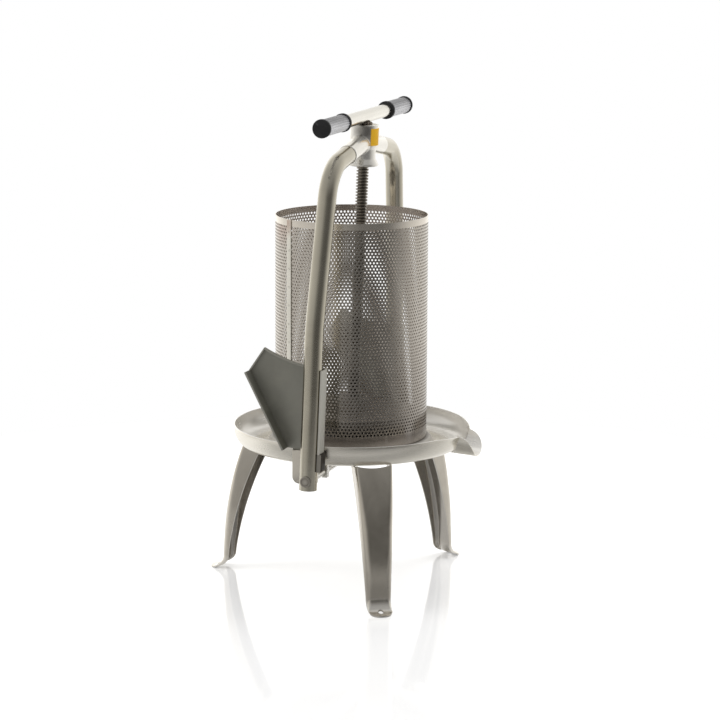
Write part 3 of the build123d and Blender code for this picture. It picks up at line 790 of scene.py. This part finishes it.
def makeLeg(look):
    tall, foot, curl, sheet = (look[key] for key in ("height", "footRadius", "flare", "sheet"))
    flareTop = curl + sheet
    rise, splay = tall - flareTop, foot - look["topRadius"]
    bow = (rise ** 2 + splay ** 2) / (2 * splay)
    bowMiddle, bowAngle = foot - bow, asin(rise / bow)
    faceRun, flareRun = bow * bowAngle, quarter * curl

    def faceLine(run):
        # distance down the face: radius, height and how far the toe has flared
        if run < faceRun:
            angle = bowAngle - run / bow
            return bowMiddle + bow * cos(angle), flareTop + bow * sin(angle), 0.0
        flare = min((run - faceRun) / curl, quarter)
        return (foot + curl * (1 - cos(flare)) + max(run - faceRun - flareRun, 0),
                flareTop - curl * sin(flare), flare)

    def rearEdge(level):
        # a parabola through the three points of the flange's rear edge
        return sum(reach * prod((level - other) / (z - other) for other, _ in look["rear"] if other != z)
                   for z, reach in look["rear"])

    footFlange = foot - rearEdge(flareTop)
    taperStart, taperEnd = (radians(angle) for angle in look["taper"])
    leg = addShape("legChannel", bpy.ops.mesh.primitive_grid_add, x_subdivisions=look["across"] - 1,
                   y_subdivisions=look["along"] - 1, size=2)
    for vertex in leg.data.vertices:
        across, down = vertex.co.x, (1 - vertex.co.y) / 2
        side, share = (1 if across > 0 else -1), abs(across)
        inSlot = min(share / look["slotEnd"], 1) ** 2
        beyond = clamp((share - look["slotEnd"]) / look["slotBlend"])
        topRun = look["slot"] - (look["slot"] + look["slotRise"]) * inSlot + look["slotRise"] * beyond
        toeY = min(share / look["toeShare"], 1) * look["footWidth"] / 2
        toeEnd = look["toe"] - look["toeRound"] + sqrt(look["toeRound"] ** 2 - toeY ** 2)
        past = toeEnd - foot - curl
        endRun = faceRun + (flareRun + past if past > 0 else curl * acos(-past / curl))
        reach, level, flare = faceLine(topRun + (endRun - topRun) * down)
        half = (look["footWidth"] + (look["topWidth"] - look["footWidth"]) * level / tall) / 2
        taper = ease((flare - taperStart) / (taperEnd - taperStart))
        flange = footFlange + (look["toeCurl"] - footFlange) * taper
        if flare == 0:
            flange = reach - rearEdge(level)
        grown = min((tall - level) / look["bendGrow"], 1)
        bend = look["topBend"] + (look["bend"] - look["topBend"]) * grown
        bend = min(bend + (look["toeBend"] - bend) * taper, max(look["bendMost"] * flange, look["toeBend"]))
        turn = quarter if flange > bend else acos(1 - flange / bend)
        # where the face and the bend end across the grid: the toe is nearly all face
        wide = min(flange / look["sideFull"], 1)
        faceEnd = look["toeShare"] + (look["faceShare"] - look["toeShare"]) * wide
        bendEnd = 1 + (look["bendShare"] - 1) * wide if flange > bend else 1
        if share < faceEnd:
            y, depth = (half - bend) * share / faceEnd, 0
        elif share < bendEnd or flange <= bend:
            angle = turn * (share - faceEnd) / (bendEnd - faceEnd)
            y, depth = half - bend + bend * sin(angle), bend * (1 - cos(angle))
        else:
            y, depth = half, bend + (flange - bend) * (share - bendEnd) / (1 - bendEnd)
        vertex.co = (reach - cos(flare) * depth, side * y, level - sin(flare) * depth)
    turnOut(leg)
    faceMiddle = Vector((foot, 0, tall / 2))
    flipIf(leg, min(leg.data.polygons, key=lambda p: (p.center - faceMiddle).length).normal.x < 0)
    thicken(leg, sheet)
    drill = addShape("toeDrill", bpy.ops.mesh.primitive_cylinder_add, vertices=40, radius=look["hole"],
                     depth=look["drill"], location=(look["holeRadius"], 0, 0))
    applyModifier(leg, "BOOLEAN", operation="DIFFERENCE", object=drill, solver="EXACT")
    bpy.data.objects.remove(drill)
    roundEdges(leg, look["edge"], 55)

    def innerShare(vertex):
        # painted shade on the inside of the channel, darker down to the toe, where it fades out
        inwards = -vertex.normal.y * copysign(1, vertex.co.y)
        return vertex.co.z / flareTop - look["dullFrom"] if inwards > 0.4 or vertex.normal.x < -0.5 else 0

    markInside(leg, innerShare)
    return smoothByAngle(leg, 45)


legModel = makeLeg(legLook)
for name, angle in legLook["turns"].items():
    leg = copyPiece(legModel, "legChannel_" + name, Matrix.Rotation(radians(angle), 4, "Z"))
    settle(leg, "base", "leg_steel", legSteel, "leg_" + name)
bpy.data.objects.remove(legModel)
print("legs done")


# Screw: trapezoidal thread on its core, with the swivel end and the spigot

screwLook = dict(
    pitch=0.004, outer=0.008, root=0.00575, crest=0.00146, flank=0.0006, turnSteps=28, bottom=0.0743,
    top=0.438, button=(0.0621, 0.0661, 0.010), journal=0.005, spigot=0.0055, spigotTop=0.446, sink=0.001,
    endRounds=(0.0006, 0.0006, 0.0003, 0), spigotRounds=(0, 0.0005))


def makeScrew(look):
    bottom, top, pitch, outer, root = (look[key] for key in ("bottom", "top", "pitch", "outer", "root"))
    turns = ceil((top - bottom) / pitch) + 2
    start = bottom - pitch
    rise = start + pitch - look["crest"] - 2 * look["flank"]
    line = [(root, start), (root, rise), (outer, rise + look["flank"]),
            (outer, rise + look["flank"] + look["crest"]), (root, start + pitch)]
    thread = drawProfile("screwThread", line)
    applyModifier(thread, "SCREW", axis="Z", angle=2 * pi, screw_offset=pitch, iterations=turns,
                  steps=look["turnSteps"], render_steps=look["turnSteps"], use_merge_vertices=True,
                  merge_threshold=1e-5)
    mergeAndTurnOut(thread)
    for level, normal in ((bottom, -1), (top, 1)):
        editAll(thread)
        bpy.ops.mesh.bisect(plane_co=(0, 0, level), plane_no=(0, 0, normal), clear_outer=True, use_fill=True)
    editDone()
    mergeAndTurnOut(thread)
    low, high, wide = look["button"]
    into = bottom + look["sink"]  # the plain ends reach into the thread
    line = [(0, low), (wide, low), (wide, high), (look["journal"], high), (look["journal"], into), (0, into)]
    swivel = lathe("screwEnd", roundedLine(line, look["endRounds"], 3), 48)
    foot, wide, high = top - look["sink"], look["spigot"], look["spigotTop"]
    line = [(0, foot), (wide, foot), (wide, high), (0, high)]
    spigot = lathe("screwSpigot", roundedLine(line, look["spigotRounds"], 3), 48)
    screw = joinPieces("pressScrew", thread, swivel, spigot)
    screw.data.transform(yokePlace)
    return smoothByAngle(screw, 32)


settle(makeScrew(screwLook), "screw", "screw_steel", screwSteel, "screw")
print("screw done")


# Grips: ribbed sleeve, a collar towards the tube and a closed end cap

gripLook = dict(
    height=0.4465, start=0.091, length=0.088, radius=0.0109, ribs=22, ribDepth=0.0009, ribEdge=0.00018,
    ring=0.0119, ringLength=0.0055, overlap=0.0005, bore=0.00855, capSheet=0.0008, dish=0.006,
    crown=(0.0004, 0.0005, 0.0002), skirt=0.001, collarRounds=(0.0009, 0.0009, 0),
    capRounds=(0.003, 0.0016, 0.0006, 0))


def makeGripSleeve(look):
    inset = look["ringLength"] - look["overlap"]
    sleeve = addShape("gripSleeve", bpy.ops.mesh.primitive_cylinder_add, vertices=2 * look["ribs"],
                      radius=look["radius"], end_fill_type="NOTHING", depth=look["length"] - 2 * inset,
                      location=(0, 0, look["length"] / 2))
    step = pi / look["ribs"]
    editSelect(sleeve, "VERT", lambda v: round(atan2(v.co.y, v.co.x) / step) % 2 == 0)
    valley = 1 - look["ribDepth"] / look["radius"]
    bpy.ops.transform.resize(value=(valley, valley, 1), center_override=(0, 0, 0))
    editDone()
    roundEdges(sleeve, look["ribEdge"], 15)
    thicken(sleeve, look["radius"] - look["bore"])
    return smoothByAngle(sleeve, 60)


def makeGripEnds(look):
    ring, bore, run, length = look["ring"], look["bore"], look["ringLength"], look["length"]
    line = [(bore, 0), (ring, 0), (ring, run), (bore, run), (bore, 0)]
    collar = lathe("gripCollar", roundedLine(line, look["collarRounds"], 4), 64)
    foot = length - run
    middle, dish, edge = (length - below for below in look["crown"])
    line = [(0, middle), (look["dish"], dish), (ring, edge), (ring, foot), (bore, foot),
            (bore, foot - look["skirt"])]
    cap = lathe("gripCap", roundedLine(line, look["capRounds"], 5), 64)
    thicken(cap, look["capSheet"])
    return smoothByAngle(joinPieces("gripEnds", collar, cap), 45)


def gripPlace(sign):
    middle = yokePlace @ Matrix.Translation((0, 0, gripLook["height"]))
    return middle @ Matrix.Rotation(sign * quarter, 4, "X") @ Matrix.Translation((0, 0, gripLook["start"]))


settleBoth(makeGripSleeve(gripLook), gripPlace, "screw", "grip_plastic", gripRib, "grip")
settleBoth(makeGripEnds(gripLook), gripPlace, "screw", "grip_plastic", gripBlack, "grip")
print("grips done")


# Head: the casting with soft fillets where the sleeves run into the boss

headLook = dict(voxel=0.0007, smooth=10)


def makeHead(look):
    head = cadCopy("head_casting", "castHead")
    applyModifier(head, "REMESH", mode="VOXEL", voxel_size=look["voxel"], adaptivity=0.0)
    applyModifier(head, "SMOOTH", factor=0.5, iterations=look["smooth"])
    return smoothByAngle(head, 70)


settle(makeHead(headLook), "yoke", "head_metal", headMetal, "head_casting")
print("head done")


# Weld bead round the screw's top, under the handle tube

beadLook = dict(level=0.4378, radius=0.0078, thick=0.0022, waves=14, wave=0.0005, slow=(5, 0.6, 1.3))


def makeBead(look):
    bead = addShape("handleBead", bpy.ops.mesh.primitive_torus_add, major_segments=84, minor_segments=14,
                    major_radius=look["radius"], minor_radius=look["thick"], location=(0, 0, look["level"]))
    count, share, start = look["slow"]  # a second, slower ripple
    for vertex in bead.data.vertices:
        around = atan2(vertex.co.y, vertex.co.x)
        ripple = look["wave"] * (sin(look["waves"] * around) + share * sin(count * around + start))
        vertex.co += Vector((vertex.co.x, vertex.co.y, 0)).normalized() * ripple
    bead.data.transform(yokePlace)
    return smoothByAngle(bead, 60)


settle(makeBead(beadLook), "screw", "handle_chrome", weldMetal)
print("bead done")


# Stop plates: one sheet with its edges folded towards the arm, copied to the back

stopLook = dict(
    outline=((-0.026, 0.184), (-0.026, 0.2088), (-0.0343, 0.2088), (-0.0847, 0.3066), (-0.064, 0.337),
             (0.0199, 0.3149), (0.0157, 0.2069), (0.01485, 0.184)),
    back=0.1575, sheet=0.0025, cut=0.0006, flange=0.0225, edge=0.0045, sag=0.006, sagSteps=12, fold=0.0032)


def makeStopPlate(look):
    outline = list(look["outline"])
    (startX, startZ), (endX, endZ) = outline[4:6]
    top = []
    for step in range(look["sagSteps"] + 1):
        share = step / look["sagSteps"]
        top.append((startX + (endX - startX) * share,
                    startZ + (endZ - startZ) * share - 4 * look["sag"] * share * (1 - share)))
    plate = drawProfile("stopSheet", outline[:4] + top + outline[6:] + outline[:1])
    mergeAndTurnOut(plate)
    editAll(plate)
    bpy.ops.mesh.edge_face_add()
    bpy.ops.transform.translate(value=(0, -look["back"], 0))

    def onRun(edge, places):
        return all(v.co.y > -look["back"] - 1e-5 and (round(v.co.x, 4), round(v.co.z, 4)) in places
                   for v in edge.verts)

    for points, depth in ((outline[2:4], look["flange"]), (outline[3:4] + top, look["edge"]),
                          ([top[-1], outline[6]], look["flange"])):
        places = {(round(x, 4), round(z, 4)) for x, z in points}
        editSelect(plate, "EDGE", lambda e: e.is_boundary and onRun(e, places))
        bpy.ops.mesh.extrude_region_move(TRANSFORM_OT_translate={"value": (0, -depth, 0)})
        editDone()
    # the last of these, the upright flange, has a wide bend
    editSelect(plate, "EDGE", lambda e: not e.is_boundary and onRun(e, places))
    bpy.ops.mesh.bevel(offset=look["fold"], segments=5, affect="EDGES")
    turnOut(plate)
    flipIf(plate, max(plate.data.polygons, key=lambda p: p.area).normal.y < 0)
    thicken(plate, look["sheet"])
    roundEdges(plate, look["cut"], 50)
    return smoothByAngle(plate, 40)


def mirrored(sign):
    return Matrix.Scale(sign, 4, (0, 1, 0))


settleBoth(makeStopPlate(stopLook), mirrored, "base", "stop_steel", stopSteel, "stop_plate")
print("stop plates done")


# Hinge pins with a turned ring in the head

pinLook = dict(
    start=0.1392, shank=0.004, seat=0.1858, head=0.0071, height=0.0032, ring=0.0046, groove=0.0003,
    grooveDepth=0.0004, rounds=(0.0005, 0, 0.0004, 0.0011, 0, 0, 0))


def makePin(look):
    start, shank, seat, head, ring = (look[key] for key in ("start", "shank", "seat", "head", "ring"))
    top = seat + look["height"]
    line = [(0, start), (shank, start), (shank, seat), (head, seat), (head, top),
            (ring + look["groove"], top), (ring, top - look["grooveDepth"]), (ring - look["groove"], top),
            (0, top)]
    pin = lathe("hingePin", roundedLine(line, look["rounds"], 4), 72)
    return smoothByAngle(pin, 40)


def pinPlace(sign):
    return Matrix.Translation((0, 0, pivot.z)) @ Matrix.Rotation(sign * quarter, 4, "X")


settleBoth(makePin(pinLook), pinPlace, "base", "bar_steel", pinSteel, "hinge_pin")
print("pins done")


# Pieces that keep the CAD form, two of them cut slimmer, with edges as bent or tumbled metal has them

blockLook = dict(edge=0.0006, over=40.0, tab=0.0082, strap=0.0079)


def makeBlock(node, look, low, high):
    block = cadCopy(node, "soft_" + node)
    for vertex in block.data.vertices:
        vertex.co = [min(max(part, least), most) for part, least, most in zip(vertex.co, low, high)]
    roundEdges(block, look["edge"], look["over"])
    return smoothByAngle(block, 40)


tab, strap = blockLook["tab"], blockLook["strap"]  # how far a bracket and a saddle reach
for hand in hands:
    for kind, slot, finish, low, high in (
            ("hinge_bracket", "stop_steel", legSteel, (-1, -1, -1), (tab, 1, 1)),
            ("stop_buffer", "buffer_rubber", bufferSteel, (-1, -1, -1), (1, 1, 1)),
            ("shaft_saddle", "bar_steel", barSteel, (-strap, -1, pivot.z - strap), (strap, 1, 1))):
        node = f"{kind}_{hand}"
        settle(makeBlock(node, blockLook, low, high), "base", slot, finish, node)
print("blocks done")


# Arms: the CAD tubes, a little fuller

armLook = dict(fuller=0.0008, out=0.0005)


def makeArm(node, name, look, sign):
    arm = cadCopy(node, name)
    editAll(arm)
    bpy.ops.transform.shrink_fatten(value=look["fuller"])
    bpy.ops.transform.translate(value=(0, -sign * look["out"], 0))  # clear of the bracket
    editDone()
    return smoothByAngle(arm, 40)


for hand, sign in hands.items():
    node = "yoke_arm_" + hand
    settle(makeArm(node, "armTube_" + hand, armLook, sign), "yoke", "tube_steel", tubeSteel, node)
print("arms done")


# CAD nodes that stay, with their finishes

keptNodes = {
    "pivot_shaft": barSteel, "handle_tube": handleChrome, "pivot_bush_front": nutBronze,
    "pivot_bush_back": nutBronze, "screw_nut": nutBronze, "head_label": labelFilm, "press_plate": plateSteel,
    "plate_hub": plateSteel, "thrust_washer": nutBronze, "hub_retainer": plateSteel}
for name, finish in keptNodes.items():
    paint(nodes[name], finish)
print("kept nodes", len(keptNodes))


# Floor, studio and camera

stageLook = dict(
    floorSize=1.05, floorGap=0.0003, floor=0.82, gloss=0.35, glossRough=0.07, lift=0.28, rimLift=0.42,
    rimFade=(0.5, 0.95), ambient=0.62, peak=1.4, warm=(1, 0.985, 0.955), ceiling=0.32, ceilingShare=0.30,
    ceilingFrom=(0.2, 0.75),
    # painted light and shade on the floor as metal sees it, by the distance from the middle towards the
    # camera
    floorSeen=((-0.12, 0.85), (0.20, 0.27), (0.34, 0.25), (0.44, 0.42), (0.54, 0.42), (0.70, 0.31),
               (0.90, 0.27)),
    # brightness that metal sees, by the angle round the object from the camera (positive to its right)
    round=((-180, 1.15), (-162, 1.4), (-145, 1.2), (-120, 0.85), (-90, 0.66), (-55, 0.55), (-30, 0.46),
           (-8, 0.24), (10, 0.13), (45, 0.115), (62, 0.18), (78, 0.40), (95, 0.62), (118, 0.82), (142, 1.0),
           (162, 1.25), (180, 1.15)))
lampLook = dict(
    softLeft=dict(place=(-2.6, -1.6, 2.4), aim=(0, 0, 0.3), size=2.4, watts=62),
    softTop=dict(place=(0.5, 0.9, 3.0), aim=(0, 0, 0.3), size=2.2, watts=48))
cameraLook = dict(
    place=(1.0518, -3.2703, 0.94035), pitch=10.62, turn=17.83, roll=0.25, lens=132.35, shift=0.0123)


def makeFloor(look, camera):
    floor = addShape("studioFloor", bpy.ops.mesh.primitive_circle_add, vertices=160, radius=look["floorSize"],
                     fill_type="NGON", location=(0, 0, -look["floorGap"]))
    finish = bpy.data.materials.new("studioFloor")
    finish.use_nodes = True
    tree = finish.node_tree
    tree.nodes.remove(tree.nodes["Principled BSDF"])
    path = addNode(tree, "LightPath").outputs
    # painted light and shade on the floor for glossy rays: pale behind the press and dim in front
    place = addNode(tree, "TexCoord").outputs["Object"]
    nearer = vectorNode(tree, "DOT_PRODUCT", place, Vector(camera["place"]).to_2d().normalized().to_3d())
    first, last = look["floorSeen"][0][0], look["floorSeen"][-1][0]
    seenFloor = rampNode(tree, rangeNode(tree, nearer, first, last),
                         [((run - first) / (last - first), (level,) * 3) for run, level in look["floorSeen"]])
    shade = mixColour(tree, path["Is Glossy Ray"], (look["floor"],) * 3, seenFloor)
    matt = addNode(tree, "BsdfDiffuse", [("Color", shade)])
    gloss = addNode(tree, "BsdfGlossy", [("Color", (1, 1, 1))], Roughness=look["glossRough"])
    surface = addNode(tree, "MixShader", [(0, look["gloss"]), (1, matt.outputs[0]), (2, gloss.outputs[0])])
    # the camera sees it paler, and white at its rim
    away = vectorNode(tree, "LENGTH", place)
    lifted = rangeNode(tree, away, *look["rimFade"], look["lift"], look["rimLift"])
    seen = mathNode(tree, "MULTIPLY", path["Is Camera Ray"], lifted)
    lift = addNode(tree, "Emission", [("Strength", seen)])
    total = addNode(tree, "AddShader", [(0, surface.outputs[0]), (1, lift.outputs[0])])
    tree.links.new(total.outputs[0], tree.nodes["Material Output"].inputs["Surface"])
    floor.data.materials.append(finish)


def makeWorld(look, camera):
    world = bpy.data.worlds.new("studioWorld")
    bpy.context.scene.world = world
    world.use_nodes = True
    world.cycles.sampling_method = "NONE"
    tree = world.node_tree
    direction = addNode(tree, "TexCoord").outputs["Generated"]
    parts = addNode(tree, "SeparateXYZ", [("Vector", direction)]).outputs
    around = mathNode(tree, "ARCTAN2", parts["Y"], parts["X"])
    towards = atan2(camera["place"][1], camera["place"][0])
    turned = mathNode(tree, "SUBTRACT", around, towards)
    wrapped = addNode(tree, "Math", [(0, turned), (1, pi), (2, -pi)], operation="WRAP")
    warm = Vector(look["warm"]) / look["peak"]
    ramp = rampNode(tree, rangeNode(tree, wrapped.outputs[0], -pi, pi),
                    [((angle + 180) / 360, tuple(level * warm)) for angle, level in look["round"]])
    bright = vectorNode(tree, "MULTIPLY", ramp, (look["peak"],) * 3, "Vector")
    # overhead is dimmer, with a share of what is below it
    share = vectorNode(tree, "MULTIPLY", bright, (look["ceilingShare"],) * 3, "Vector")
    overhead = vectorNode(tree, "ADD", share, (look["ceiling"],) * 3, "Vector")
    shown = mixColour(tree, rangeNode(tree, parts["Z"], *look["ceilingFrom"]), bright, overhead)
    path = addNode(tree, "LightPath").outputs
    plain = mathNode(tree, "MAXIMUM", path["Is Camera Ray"], path["Is Transmission Ray"])
    colour = mixColour(tree, path["Is Glossy Ray"], (look["ambient"],) * 3, shown)
    colour = mixColour(tree, plain, colour, (1.0, 1.0, 1.0))
    tree.links.new(colour, tree.nodes["Background"].inputs["Color"])


def addLamp(name, look):
    lamp = bpy.data.lights.new(name, "AREA")
    lamp.shape, lamp.size, lamp.energy = "DISK", look["size"], look["watts"]
    holder = linkPiece(name, lamp)
    holder.location = look["place"]
    holder.visible_glossy = False  # metal sees only the studio round it
    holder.rotation_euler = (Vector(look["aim"]) - Vector(look["place"])).to_track_quat("-Z", "Y").to_euler()


def makeCamera(look):
    data = bpy.data.cameras.new("photoCamera")
    data.lens, data.sensor_width, data.shift_x = look["lens"], 36, look["shift"]
    data.clip_end = 100
    camera = linkPiece("photoCamera", data)
    aim = (Matrix.Rotation(radians(look["turn"]), 4, "Z")
           @ Matrix.Rotation(quarter - radians(look["pitch"]), 4, "X")
           @ Matrix.Rotation(radians(look["roll"]), 4, "Z"))
    camera.matrix_world = Matrix.Translation(look["place"]) @ aim
    bpy.context.scene.camera = camera


makeFloor(stageLook, cameraLook)
makeWorld(stageLook, cameraLook)
for name, look in lampLook.items():
    addLamp(name, look)
makeCamera(cameraLook)
bpy.context.scene.view_settings.view_transform = "Standard"
print("stage done")
